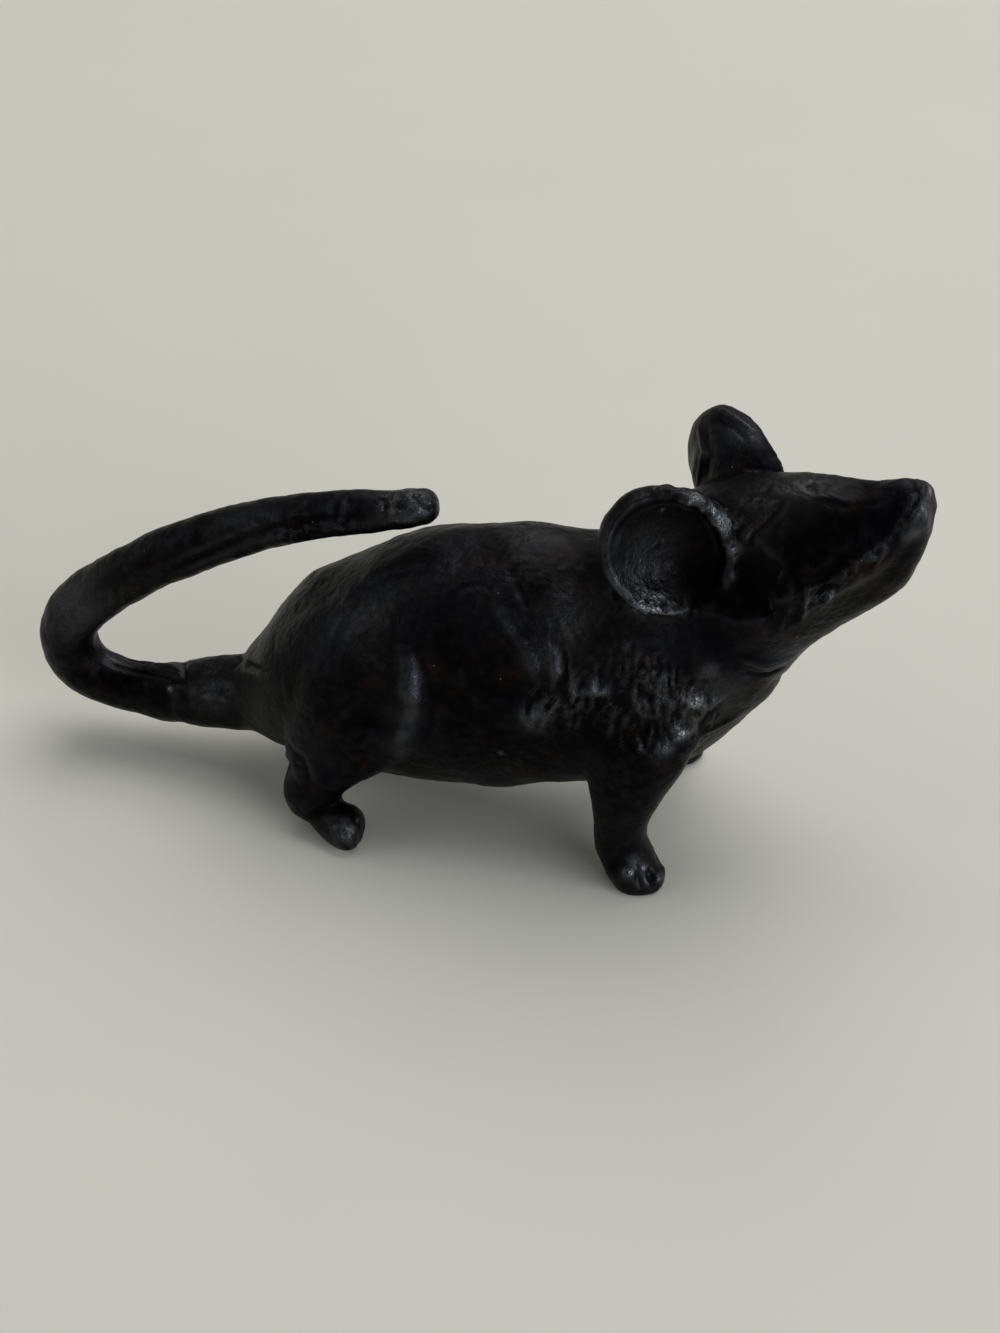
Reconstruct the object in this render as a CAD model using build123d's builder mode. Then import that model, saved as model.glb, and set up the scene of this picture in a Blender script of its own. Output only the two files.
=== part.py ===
"""Mouse figurine: a black painted casting in two hollow halves, with its own head, ears and tail.

The mouse stands on the XY plane and looks along +X, +Y is its own left, and lengths are millimetres.
The origin lies on the ground, halfway between the bend of the tail and the nose.
"""

import os
from math import cos, radians, sin

from build123d import *

os.makedirs("parts", exist_ok=True)

# Trunk, from the rump to the neck joint
rump_x = -38.5
trunk_length = 83.6
back_height = 53.4
trunk_width = 37.0
wall = 4.0

# Sleeve on the rump that the tail's root stands in
sleeve_length = 11.9
sleeve_pitch = 10

# Each trunk station has its place along the trunk and the height of its widest line, its pitch in
# degrees, and its reach above, below and beside that line
trunk_shares = [
    (0.000, 0.243, sleeve_pitch, 0.124, 0.124, 0.357),
    (0.040, 0.285, 10, 0.180, 0.165, 0.480),
    (0.083, 0.335, 8, 0.250, 0.215, 0.640),
    (0.136, 0.385, 5, 0.320, 0.265, 0.800),
    (0.195, 0.415, 2, 0.355, 0.300, 0.910),
    (0.269, 0.445, 0, 0.400, 0.335, 0.975),
    (0.359, 0.475, 0, 0.447, 0.370, 1.000),
    (0.526, 0.500, 0, 0.492, 0.388, 1.000),
    (0.629, 0.535, 0, 0.478, 0.392, 0.990),
    (0.706, 0.580, 0, 0.425, 0.405, 0.980),
    (0.816, 0.646, 12, 0.403, 0.410, 0.970),
    (0.910, 0.775, 24, 0.370, 0.400, 0.900),
    (0.958, 0.860, 31, 0.345, 0.370, 0.810),
    (1.000, 0.938, 37.6, 0.316, 0.320, 0.715),
]
sleeve_end_share = 0.85
trunk_fullness_share = 0.73

# The cavity runs between two trunk stations, and closes with a smaller section at each end
cavity_stations = range(4, 10)
cavity_end_share = 0.45

# Fore legs: sections from the shoulder down to the sole, each with its height, its offset forward
# and outward from the foot, and its half length and half width
fore_foot_x = 35.4
fore_foot_y = 17.8
fore_leg_height = 40.0
fore_foot_radius = 5.0
fore_leg_shares = [
    (1.000, -0.10, -2.00, 1.20, 0.80),
    (0.850, -0.18, -1.15, 1.75, 1.15),
    (0.675, -0.26, -0.70, 1.85, 1.12),
    (0.500, -0.40, -0.46, 1.45, 1.02),
    (0.400, -0.52, -0.36, 1.17, 0.97),
    (0.300, -0.64, -0.28, 0.97, 0.93),
    (0.175, -0.60, -0.20, 0.94, 0.90),
    (0.100, -0.30, -0.10, 1.02, 0.96),
    (0.040, 0.00, 0.00, 0.98, 0.94),
    (-0.013, 0.00, 0.00, 0.83, 0.80),
]
toe_radius = 1.8
toe_angles = (-20, 12, 44, 76)

# Hind legs: sections from the haunch down to the hock, with the same columns
hock_x = -21.7
hock_y = 17.4
hind_leg_height = 42.0
hock_radius = 4.9
hind_leg_shares = [
    (1.000, 1.67, -2.35, 1.02, 0.80),
    (0.857, 1.60, -1.60, 1.84, 1.28),
    (0.714, 1.55, -1.02, 2.20, 1.34),
    (0.524, 1.42, -0.70, 2.28, 1.30),
    (0.357, 0.92, -0.42, 1.94, 1.12),
    (0.250, 0.28, -0.20, 1.26, 0.98),
    (0.155, 0.00, -0.06, 1.00, 0.88),
    (0.081, 0.04, 0.00, 0.65, 0.65),
]

# Hind feet: sections from the hock forward to the ball of the toes, each with its place along the
# foot, its offset outward, the height of its middle, and its half width and half height
hind_foot_length = 12.0
hind_foot_radius = 4.1
hind_foot_back_share = 0.61
hind_foot_shares = [
    (0.00, 0.00, 1.27, 0.63, 0.59),
    (0.29, 0.20, 1.05, 0.80, 0.73),
    (0.58, 0.50, 0.83, 1.02, 0.90),
    (0.83, 0.66, 0.78, 1.05, 0.88),
    (1.00, 0.70, 0.76, 0.63, 0.50),
]

# Head: turned on the neck, with its sections placed forward and up from the neck joint
head_length = 32.4
head_width = 26.6
head_turn = -9
head_shares = [
    (0.238, 0.194, 26.0, 0.475, 0.475, 1.00),
    (0.509, 0.336, 18.9, 0.425, 0.377, 0.84),
    (0.747, 0.534, 17.2, 0.270, 0.346, 0.57),
    (0.886, 0.691, 14.0, 0.140, 0.287, 0.39),
    (0.963, 0.769, 11.0, 0.090, 0.185, 0.255),
]
head_fullness_shares = [0.69, 0.62, 0.62, 0.64, 0.66]
jaw_creases = [5, 22, 30, 30, 25]

# Ears: cups with a rolled rim, each on a root that is let into the head, set by hand and not alike
ear_length = 24.0
ear_height = 20.2
ear_depth = 6.2
ear_out = 12.9
ear_up = 13.3
right_ear_forward = -6.4
left_ear_forward = -3.0
right_ear_normal = (0.62, -0.76, 0.18)
left_ear_normal = (0.54, 0.82, -0.04)
ear_slope = -38
ear_cup_shares = [(-0.96, 0.28), (-0.83, 0.56), (-0.55, 0.84), (-0.15, 0.99), (0.12, 0.985), (0.27, 0.92)]
ear_dish_shares = [(-0.56, 0.24, 0.17), (-0.48, 0.46, 0.13), (-0.30, 0.66, 0.07), (-0.04, 0.78, 0.02), (0.34, 0.86, 0.00)]
ear_tenon_radius = 3.0
ear_tenon_reach = 13.0
ear_tenon_start = 2.0
ear_tenon_depth = 3.6
ear_tenon_drop = 1.0
ear_clearance = 0.15

# Tail: points of its centre line behind and above the sleeve's end, as shares of its reach and rise
tail_reach = 26.8
tail_rise = 47.0
tail_radius = 5.0
tail_point_shares = [
    (-0.313, -0.013),
    (-0.608, 0.011),
    (-0.772, 0.094),
    (-0.810, 0.206),
    (-0.724, 0.315),
    (-0.534, 0.421),
    (-0.205, 0.568),
    (0.205, 0.706),
    (0.631, 0.825),
    (1.063, 0.908),
    (1.489, 0.970),
    (1.750, 1.001),
]
tail_radius_shares = [0.93, 0.95, 0.91, 0.98, 1.02, 1.01, 0.99, 0.98, 0.97, 0.94, 0.90, 0.86, 0.81, 0.74, 0.67, 0.60]
tail_tip_round = 2.6
tenon_radius = 3.3
tenon_length = 13.0

# Hardware
clearance = 0.1
pin_chamfer_share = 0.25
spigot_radius = 6.0
spigot_length = 13.0
pin_radius = 1.5
neck_pin_length = 18.0
tail_pin_radius = 1.2
tail_pin_length = 8.6
dowel_radius = 1.5
dowel_length = 12.0
rear_dowel_x = -32.5
rear_dowel_z = 18.5
front_dowel_x = 34.0
front_dowel_z = 22.0
screw_x = -4.0
screw_radius = 2.0
screw_length = 30.0
screw_head_radius = 4.0
screw_head_height = 2.3
screw_sink = 0.5
slot_width = 1.0
slot_depth = 1.1
boss_radius = 5.0

# Sides of the mouse
left = 1
right = -1

# Derived places
half_width = trunk_width / 2
neck_center = Vector(rump_x + trunk_length, 0, trunk_shares[-1][1] * back_height)
neck_pitch = trunk_shares[-1][2]
rump_center = Vector(rump_x, 0, trunk_shares[0][1] * back_height)
screw_z = trunk_shares[7][1] * back_height


def pitched_plane(origin, pitch, turn=0):
    """A plane across the body whose normal looks forward, raised by pitch and turned by turn degrees."""
    heading = Vector(cos(radians(turn)), sin(radians(turn)), 0)
    across = Vector(-sin(radians(turn)), cos(radians(turn)), 0)
    normal = heading * cos(radians(pitch)) + Vector(0, 0, sin(radians(pitch)))
    return Plane(origin, x_dir=across, z_dir=normal)


neck_plane = pitched_plane(neck_center, neck_pitch)
sleeve_plane = pitched_plane(rump_center, sleeve_pitch).offset(-sleeve_length)
head_heading = Vector(cos(radians(head_turn)), sin(radians(head_turn)), 0)
head_across = Vector(-sin(radians(head_turn)), cos(radians(head_turn)), 0)


def section(plane, above, below, beside, fullness=trunk_fullness_share, crease=0, whole=False):
    """A rounded body section: its left half closed on the median line, or the whole of it.

    The fullness is 0.71 for an ellipse and less for flatter sides, and the crease is the angle
    in degrees at which the sides meet along the widest line.
    """
    out, down = sin(radians(crease)), -cos(radians(crease))
    with BuildSketch(plane) as outline:
        with BuildLine():
            Spline(
                (0, above), (fullness * beside, fullness * above), (beside, 0), tangents=((1, 0), (out, down))
            )
            Spline(
                (beside, 0), (fullness * beside, -fullness * below), (0, -below), tangents=((-out, down), (-1, 0))
            )
            if whole:
                mirror(about=Plane.YZ)
            else:
                Line((0, -below), (0, above))
        make_face()
    return outline.sketch


def trunk_section(station, inset=0, shrink=1):
    """One trunk station's left half, drawn in by inset for the cavity."""
    along, height, pitch, above, below, beside = trunk_shares[station]
    plane = pitched_plane((rump_x + along * trunk_length, 0, height * back_height), pitch)
    return section(
        plane,
        (above * back_height - inset) * shrink,
        (below * back_height - inset) * shrink,
        (beside * half_width - inset) * shrink,
    )


def neck_section(whole):
    """The outline that the neck and the back of the head share."""
    above, below, beside = trunk_shares[-1][3:]
    return section(neck_plane, above * back_height, below * back_height, beside * half_width, whole=whole)


def oval(plane, half_length, half_height):
    """An elliptical section."""
    with BuildSketch(plane) as outline:
        Ellipse(half_length, half_height)
    return outline.sketch


def leg_sections(foot_x, foot_y, height, radius, shares):
    """The level sections of a left leg, from the top down."""
    return [
        oval(
            Plane((foot_x + forward * radius, foot_y + outward * radius, up * height)),
            length * radius,
            width * radius,
        )
        for up, forward, outward, length, width in shares
    ]


def ear_plane(side):
    """The plane of an ear's rim: x looks forward along it, and z outward."""
    forward, normal = (left_ear_forward, left_ear_normal) if side == left else (right_ear_forward, right_ear_normal)
    center = neck_center + head_heading * forward + head_across * (side * ear_out) + Vector(0, 0, ear_up)
    direction = (head_heading * normal[0] + head_across * normal[1] + Vector(0, 0, normal[2])).normalized()
    along = head_heading - direction * head_heading.dot(direction)
    return Plane(center, x_dir=along, z_dir=direction)


def ear_oval(plane, side, depth, size, grow=0, shift=0):
    """A section of an ear at a depth along its normal."""
    with BuildSketch(plane.offset(depth)) as outline:
        with Locations((shift, 0)):
            Ellipse(ear_length / 2 * size + grow, ear_height / 2 * size + grow, rotation=-side * ear_slope)
    return outline.sketch


def ear_envelope(side, grow=0):
    """An ear's outer shape without its hollow, grown by a clearance for its seat."""
    plane = ear_plane(side)
    with BuildPart() as envelope:
        loft([ear_oval(plane, side, depth * (ear_depth + grow), size, grow) for depth, size in ear_cup_shares])
        tenon_at = plane.from_local_coords((ear_tenon_start - grow, side * ear_tenon_drop, -ear_tenon_depth))
        with BuildSketch(Plane(tenon_at, x_dir=plane.y_dir, z_dir=plane.x_dir)):
            Circle(ear_tenon_radius + grow)
        extrude(amount=ear_tenon_reach - ear_tenon_start + 2 * grow)
    return envelope.part


def ear_dish(side):
    """The sections of the dish in an ear, which is deepest next to the head."""
    plane = ear_plane(side)
    return [
        ear_oval(plane, side, depth * ear_depth, size, shift=shift * ear_length / 2)
        for depth, size, shift in ear_dish_shares
    ]


# Ears
with BuildPart() as ear_right:
    add(ear_envelope(right))
    loft(ear_dish(right), mode=Mode.SUBTRACT)
ear_right.part.label = "ear_right"
export_step(ear_right.part, "parts/ear_right.step")

with BuildPart() as ear_left:
    add(ear_envelope(left))
    loft(ear_dish(left), mode=Mode.SUBTRACT)
ear_left.part.label = "ear_left"
export_step(ear_left.part, "parts/ear_left.step")


# Half casting: what the left and the right half of the body have in common, drawn as the left one
with BuildPart() as half_casting:
    sleeve_radius = trunk_shares[0][3] * back_height * sleeve_end_share
    loft([trunk_section(station) for station in range(len(trunk_shares))])
    loft([section(sleeve_plane, sleeve_radius, sleeve_radius, sleeve_radius), trunk_section(0)])

    # Legs, toes and the ball of the hind foot
    loft(leg_sections(fore_foot_x, fore_foot_y, fore_leg_height, fore_foot_radius, fore_leg_shares))
    loft(leg_sections(hock_x, hock_y, hind_leg_height, hock_radius, hind_leg_shares))
    hind_foot_x = hock_x - hind_foot_back_share * hind_foot_radius
    loft(
        [
            oval(
                Plane(
                    (
                        hind_foot_x + along * hind_foot_length,
                        hock_y + outward * hind_foot_radius,
                        middle * hind_foot_radius,
                    ),
                    x_dir=(0, 1, 0),
                    z_dir=(1, 0, 0),
                ),
                width * hind_foot_radius,
                height * hind_foot_radius,
            )
            for along, outward, middle, width, height in hind_foot_shares
        ]
    )
    toe_reach = fore_foot_radius - toe_radius
    for angle in toe_angles:
        toe_x = fore_foot_x + toe_reach * cos(radians(angle))
        toe_y = fore_foot_y + toe_reach * sin(radians(angle))
        with Locations((toe_x, toe_y, toe_radius)):
            Sphere(toe_radius)
    split(bisect_by=Plane.XY, keep=Keep.TOP)

    # Cavity, with the boss for the body screw left standing in it
    first, last = cavity_stations[0], cavity_stations[-1]
    loft(
        [trunk_section(first, wall, cavity_end_share)]
        + [trunk_section(station, wall) for station in cavity_stations[1:-1]]
        + [trunk_section(last, wall, cavity_end_share)],
        mode=Mode.SUBTRACT,
    )
    with BuildSketch(Plane.XZ):
        with Locations((screw_x, screw_z)):
            Circle(boss_radius)
    extrude(amount=-(half_width - wall / 2))

    # Seats of the head's spigot and the tail's tenon, and the holes of the pins that cross the seam
    with BuildSketch(neck_plane):
        Circle(spigot_radius + clearance)
    extrude(amount=-(spigot_length + clearance), mode=Mode.SUBTRACT)
    with BuildSketch(sleeve_plane):
        Circle(tenon_radius + clearance)
    extrude(amount=tenon_length + clearance, mode=Mode.SUBTRACT)
    neck_pin_at = neck_plane.offset(-spigot_length / 2).origin
    tail_pin_at = sleeve_plane.offset(tenon_length / 2).origin
    rear_dowel_at = Vector(rear_dowel_x, 0, rear_dowel_z)
    front_dowel_at = Vector(front_dowel_x, 0, front_dowel_z)
    for center, radius, length in (
        (neck_pin_at, pin_radius, neck_pin_length),
        (tail_pin_at, tail_pin_radius, tail_pin_length),
        (rear_dowel_at, dowel_radius, dowel_length),
        (front_dowel_at, dowel_radius, dowel_length),
    ):
        with BuildSketch(Plane.XZ):
            with Locations((center.X, center.Z)):
                Circle(radius + clearance)
        extrude(amount=-(length / 2 + clearance), mode=Mode.SUBTRACT)
    split(bisect_by=Plane.XZ, keep=Keep.BOTTOM)


# Left half: the flank that takes the countersunk body screw
with BuildPart() as body_left_half:
    add(half_casting.part)
    add(ear_envelope(left, ear_clearance), mode=Mode.SUBTRACT)
    with BuildSketch(Plane.XZ):
        with Locations((screw_x, screw_z)):
            Circle(screw_radius + clearance)
    extrude(amount=-half_width, mode=Mode.SUBTRACT)
    head_top_y = half_width - screw_sink
    with BuildSketch(Plane.XZ.offset(-(head_top_y - screw_head_height))):
        with Locations((screw_x, screw_z)):
            Circle(screw_radius + clearance)
    with BuildSketch(Plane.XZ.offset(-head_top_y)):
        with Locations((screw_x, screw_z)):
            Circle(screw_head_radius + clearance)
    loft(mode=Mode.SUBTRACT)
    with BuildSketch(Plane.XZ.offset(-head_top_y)):
        with Locations((screw_x, screw_z)):
            Circle(screw_head_radius + clearance)
    extrude(amount=-2 * screw_sink, mode=Mode.SUBTRACT)
body_left_half.part.label = "body_left_half"
export_step(body_left_half.part, "parts/body_left_half.step")

# Right half: its boss is tapped for the body screw
with BuildPart() as body_right_half:
    add(half_casting.part)
    mirror(about=Plane.XZ, mode=Mode.REPLACE)
    add(ear_envelope(right, ear_clearance), mode=Mode.SUBTRACT)
    with BuildSketch(Plane.XZ):
        with Locations((screw_x, screw_z)):
            Circle(screw_radius)
    extrude(amount=screw_length + screw_head_height - head_top_y + wall, mode=Mode.SUBTRACT)
body_right_half.part.label = "body_right_half"
export_step(body_right_half.part, "parts/body_right_half.step")

# Head: a wedge with a narrow crown and a crease along the jaw, on a spigot
with BuildPart() as head:
    outlines = [neck_section(whole=True)]
    for shares, fullness, crease in zip(head_shares, head_fullness_shares, jaw_creases):
        forward, up, pitch, above, below, beside = shares
        center = neck_center + head_heading * (forward * head_length) + Vector(0, 0, up * head_length)
        outlines.append(
            section(
                pitched_plane(center, pitch, head_turn),
                above * head_length,
                below * head_length,
                beside * head_width / 2,
                fullness,
                crease,
                whole=True,
            )
        )
    loft(outlines)
    with BuildSketch(neck_plane):
        Circle(spigot_radius)
    extrude(amount=-spigot_length)
    add(ear_envelope(right, ear_clearance), mode=Mode.SUBTRACT)
    add(ear_envelope(left, ear_clearance), mode=Mode.SUBTRACT)
    with BuildSketch(Plane.XZ):
        with Locations((neck_pin_at.X, neck_pin_at.Z)):
            Circle(pin_radius + clearance)
    extrude(amount=spigot_radius, both=True, mode=Mode.SUBTRACT)
head.part.label = "head"
export_step(head.part, "parts/head.step")

# Tail: a rod that tapers along a spline from the sleeve to its rounded tip, on a tenon
tail_start = sleeve_plane.origin
with BuildLine(Plane.XZ) as tail_route:
    Spline(
        [(tail_start.X, tail_start.Z)]
        + [(tail_start.X + back * tail_reach, tail_start.Z + up * tail_rise) for back, up in tail_point_shares],
        tangents=((-cos(radians(sleeve_pitch)), -sin(radians(sleeve_pitch))), (1, sin(radians(sleeve_pitch)))),
    )
with BuildPart() as tail:
    outlines = []
    for station, share in enumerate(tail_radius_shares):
        place = station / (len(tail_radius_shares) - 1)
        center, heading = tail_route.line @ place, tail_route.line % place
        outlines.append(oval(Plane(center, x_dir=(0, 1, 0), z_dir=heading), share * tail_radius, share * tail_radius))
    loft(outlines)
    tip_edge = tail.edges().sort_by(Axis.X)[-1]
    fillet(tip_edge, tail_tip_round)
    with BuildSketch(sleeve_plane):
        Circle(tenon_radius)
    extrude(amount=tenon_length)
    with BuildSketch(Plane.XZ):
        with Locations((tail_pin_at.X, tail_pin_at.Z)):
            Circle(tail_pin_radius + clearance)
    extrude(amount=tenon_radius, both=True, mode=Mode.SUBTRACT)
tail.part.label = "tail"
export_step(tail.part, "parts/tail.step")


def cross_pin(center, radius, length):
    """A round pin across the seam, with chamfered ends."""
    with BuildPart() as pin:
        with BuildSketch(Plane.XZ):
            with Locations((center.X, center.Z)):
                Circle(radius)
        extrude(amount=length / 2, both=True)
        chamfer(pin.edges().filter_by(GeomType.CIRCLE), pin_chamfer_share * radius)
    return pin.part


# Pins
with BuildPart() as neck_pin:
    add(cross_pin(neck_pin_at, pin_radius, neck_pin_length))
neck_pin.part.label = "neck_pin"
export_step(neck_pin.part, "parts/neck_pin.step")

with BuildPart() as tail_pin:
    add(cross_pin(tail_pin_at, tail_pin_radius, tail_pin_length))
tail_pin.part.label = "tail_pin"
export_step(tail_pin.part, "parts/tail_pin.step")

with BuildPart() as locating_dowels:
    add(cross_pin(rear_dowel_at, dowel_radius, dowel_length))
    add(cross_pin(front_dowel_at, dowel_radius, dowel_length))
locating_dowels.part.label = "locating_dowels"
export_step(locating_dowels.part, "parts/locating_dowels.step")

# Body screw: countersunk and slotted, from the left flank to the tapped boss of the right half
with BuildPart() as body_screw:
    with BuildSketch(Plane.XZ.offset(-(head_top_y - screw_head_height))):
        with Locations((screw_x, screw_z)):
            Circle(screw_radius)
    extrude(amount=screw_length)
    with BuildSketch(Plane.XZ.offset(-(head_top_y - screw_head_height))):
        with Locations((screw_x, screw_z)):
            Circle(screw_radius)
    with BuildSketch(Plane.XZ.offset(-head_top_y)):
        with Locations((screw_x, screw_z)):
            Circle(screw_head_radius)
    loft()
    with BuildSketch(Plane.XZ.offset(-head_top_y)):
        with Locations((screw_x, screw_z)):
            Rectangle(2 * screw_head_radius, slot_width)
    extrude(amount=slot_depth, mode=Mode.SUBTRACT)
body_screw.part.label = "body_screw"
export_step(body_screw.part, "parts/body_screw.step")
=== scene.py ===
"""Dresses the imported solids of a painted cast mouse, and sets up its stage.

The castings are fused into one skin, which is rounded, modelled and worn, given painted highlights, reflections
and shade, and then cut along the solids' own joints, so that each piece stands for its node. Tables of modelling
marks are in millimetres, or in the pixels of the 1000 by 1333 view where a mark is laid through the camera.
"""

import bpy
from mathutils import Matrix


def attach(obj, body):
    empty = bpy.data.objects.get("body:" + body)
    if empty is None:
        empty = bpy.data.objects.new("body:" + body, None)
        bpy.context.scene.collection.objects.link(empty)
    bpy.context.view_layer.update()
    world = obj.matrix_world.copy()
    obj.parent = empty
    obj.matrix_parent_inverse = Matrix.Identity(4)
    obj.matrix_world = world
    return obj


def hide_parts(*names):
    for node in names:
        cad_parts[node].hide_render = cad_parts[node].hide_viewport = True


bl_info = {
    "name": "Cast mouse",
    "version": (1, 0, 0),
    "blender": (4, 5, 0),
    "location": "3D View > Sidebar > Mouse",
    "description": "Models the skin, the paint and the stage of a cast mouse figurine",
    "category": "Object",
}

from math import cos, pi, radians, sin

import bmesh
import bpy
import numpy as np
from mathutils import Vector
from mathutils.bvhtree import BVHTree
from mathutils.kdtree import KDTree

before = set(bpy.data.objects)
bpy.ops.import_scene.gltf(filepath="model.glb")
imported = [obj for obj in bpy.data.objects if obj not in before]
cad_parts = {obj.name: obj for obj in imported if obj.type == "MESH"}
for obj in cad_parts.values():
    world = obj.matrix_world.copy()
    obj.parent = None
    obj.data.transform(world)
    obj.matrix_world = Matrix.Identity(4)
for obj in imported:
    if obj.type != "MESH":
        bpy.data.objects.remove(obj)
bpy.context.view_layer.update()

MM = 0.001
VIEW_WIDTH = 1000
VIEW_HEIGHT = 1333
CASTINGS = ("body_right_half", "body_left_half", "head", "ear_right", "ear_left", "tail")
HARDWARE = ("body_screw", "locating_dowels", "tail_pin", "neck_pin")

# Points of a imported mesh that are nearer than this, in millimetres, are one
MERGE_DISTANCE = 0.0005

# Neck joint: its middle in millimetres, the tilt of its plane and the head's turn on it
NECK_CENTER = np.array((45.1, 0.0, 50.1))
NECK_PITCH = radians(37.6)
HEAD_TURN = radians(-9)

# Ears, in millimetres: the rim's middle outward and up from the neck joint, its length and height, the depth
# of the cup, and the slope of the rim's long axis
EAR_OUT = 12.9
EAR_UP = 13.3
EAR_LENGTH = 24.0
EAR_HEIGHT = 20.2
EAR_DEPTH = 6.2
EAR_SLOPE = radians(-38)

# Each ear's side along Y, its middle forward of the neck joint in millimetres, and the way that its mouth faces
EARS = {
    "right": (-1, -6.4, (0.62, -0.76, 0.18)),
    "left": (1, -3.0, (0.54, 0.82, -0.04)),
}

# Steps of a full turn round a rim that is asked for places on it
RING_STEPS = 256
# Keeps a division safe
TINY = 1e-9


class MouseCasting(bpy.types.PropertyGroup):
    """Sizes of the casting's surface."""

    grain: bpy.props.FloatProperty(
        name="Grain", description="Edge length of the skin's faces", default=0.36 * MM, unit="LENGTH", precision=5
    )
    fillet_rounds: bpy.props.IntProperty(
        name="Fillet rounds", description="How often the creases between castings are filled", default=70, min=0
    )
    unevenness: bpy.props.FloatProperty(
        name="Unevenness", description="Height of the hand-modelled waves", default=0.29 * MM, unit="LENGTH",
        precision=5
    )
    mark_depth: bpy.props.FloatProperty(
        name="Mark depth", description="Factor on the depth of all tool marks", default=1.0, min=0
    )


class MousePaint(bpy.types.PropertyGroup):
    """Colours of the paint, of its painted highlights, reflections, sheen and glints, and of the hardware."""

    black: bpy.props.FloatVectorProperty(
        name="Black", description="Main colour of the paint", subtype="COLOR", size=4,
        default=(0.0034, 0.0030, 0.0033, 1)
    )
    brown: bpy.props.FloatVectorProperty(
        name="Brown", description="Warm cast where the paint is thin", subtype="COLOR", size=4,
        default=(0.0100, 0.0052, 0.0040, 1)
    )
    blue: bpy.props.FloatVectorProperty(
        name="Blue", description="Cool cast of the thick paint", subtype="COLOR", size=4,
        default=(0.0036, 0.0036, 0.0052, 1)
    )
    # Lighter colour of rubbed high spots, also laid as a painted highlight and painted reflection on the back's top,
    # the head's top, the jaw and the chest
    worn_and_painted_light: bpy.props.FloatVectorProperty(
        name="Worn", description="Rubbed high spots", subtype="COLOR", size=4, default=(0.030, 0.028, 0.026, 1)
    )
    # Painted sheen: a painted highlight and painted reflection on the places polished by hands, and a little on edges
    painted_sheen: bpy.props.FloatVectorProperty(
        name="Sheen", description="Places polished by hands", subtype="COLOR", size=4, default=(0.078, 0.081, 0.091, 1)
    )
    # Painted glints: bright specks on the tops of the most polished lumps, as on drops of thick paint
    painted_glint: bpy.props.FloatVectorProperty(
        name="Gloss", description="Drops of thick paint that shine", subtype="COLOR", size=4,
        default=(0.34, 0.35, 0.37, 1)
    )
    dust: bpy.props.FloatVectorProperty(
        name="Dust", description="Specks of dust", subtype="COLOR", size=4, default=(0.55, 0.53, 0.5, 1)
    )
    steel: bpy.props.FloatVectorProperty(
        name="Steel", description="Plated hardware", subtype="COLOR", size=4, default=(0.42, 0.42, 0.44, 1)
    )


class MouseStage(bpy.types.PropertyGroup):
    """The camera, the floor and the lamps."""

    azimuth: bpy.props.FloatProperty(
        name="Azimuth", description="Direction of the camera", subtype="ANGLE", default=radians(14)
    )
    elevation: bpy.props.FloatProperty(
        name="Elevation", description="Height of the camera above the horizon", subtype="ANGLE", default=radians(37)
    )
    distance: bpy.props.FloatProperty(
        name="Distance", description="From the camera to its target", unit="LENGTH", default=440 * MM
    )
    pixel: bpy.props.FloatProperty(
        name="Pixel", description="Size of one pixel of the view at the target", unit="LENGTH", default=0.17 * MM,
        precision=5
    )
    target: bpy.props.FloatVectorProperty(
        name="Target", description="Point in the middle of the view", subtype="TRANSLATION", size=3,
        default=(7.4 * MM, -0.9 * MM, 27.7 * MM)
    )
    floor: bpy.props.FloatVectorProperty(
        name="Floor", description="Colour of the floor", subtype="COLOR", size=4, default=(0.66, 0.655, 0.60, 1)
    )
    sky: bpy.props.FloatProperty(
        name="Sky", description="Power of the large soft lamp above and behind the mouse", default=17.5, unit="POWER"
    )
    window: bpy.props.FloatProperty(
        name="Window", description="Power of the low lamp in front and on the right", default=8.8, unit="POWER"
    )
    side: bpy.props.FloatProperty(
        name="Side", description="Power of the weak lamp on the left", default=2.0, unit="POWER"
    )
    ambient: bpy.props.FloatProperty(
        name="Ambient", description="Strength of the light from all round", default=0.14, min=0
    )


# Camera

def camera_axes():
    """The view's right, up and back directions."""
    stage = bpy.context.scene.mouse_stage
    a, e = stage.azimuth, stage.elevation
    back = np.array((sin(a) * cos(e), -cos(a) * cos(e), sin(e)))
    right = np.array((cos(a), sin(a), 0.0))
    return right, np.cross(back, right), back


def ray_through(x, y):
    """Origin and direction, in millimetres, of the view's ray through a pixel."""
    stage = bpy.context.scene.mouse_stage
    right, up, back = camera_axes()
    distance, pixel = stage.distance / MM, stage.pixel / MM
    origin = np.array(stage.target) / MM + back * distance
    along = -back * distance + right * (x - VIEW_WIDTH / 2) * pixel - up * (y - VIEW_HEIGHT / 2) * pixel
    return origin, along / np.linalg.norm(along)


# Meshes

def merged_copy(name):
    """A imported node's mesh in millimetres, with its loose triangles joined."""
    bm = bmesh.new()
    bm.from_mesh(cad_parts[name].data)
    bmesh.ops.scale(bm, vec=(1 / MM,) * 3, verts=bm.verts)
    bmesh.ops.remove_doubles(bm, verts=bm.verts, dist=MERGE_DISTANCE)
    mesh = bpy.data.meshes.new("copy_" + name)
    bm.to_mesh(mesh)
    bm.free()
    return mesh


def new_object(name, data):
    """Puts a mesh, a lamp or a camera into the scene."""
    obj = bpy.data.objects.new(name, data)
    bpy.context.scene.collection.objects.link(obj)
    return obj


def remove_object(obj):
    """Takes an object and its mesh out again."""
    mesh = obj.data
    bpy.data.objects.remove(obj)
    bpy.data.meshes.remove(mesh)


def evaluated_mesh(obj):
    """The object's mesh with its modifiers applied."""
    graph = bpy.context.evaluated_depsgraph_get()
    graph.update()
    return bpy.data.meshes.new_from_object(obj.evaluated_get(graph))


def joined(meshes):
    """One mesh made of several."""
    bm = bmesh.new()
    for mesh in meshes:
        bm.from_mesh(mesh)
    out = bpy.data.meshes.new("joined")
    bm.to_mesh(out)
    bm.free()
    return out


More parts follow.
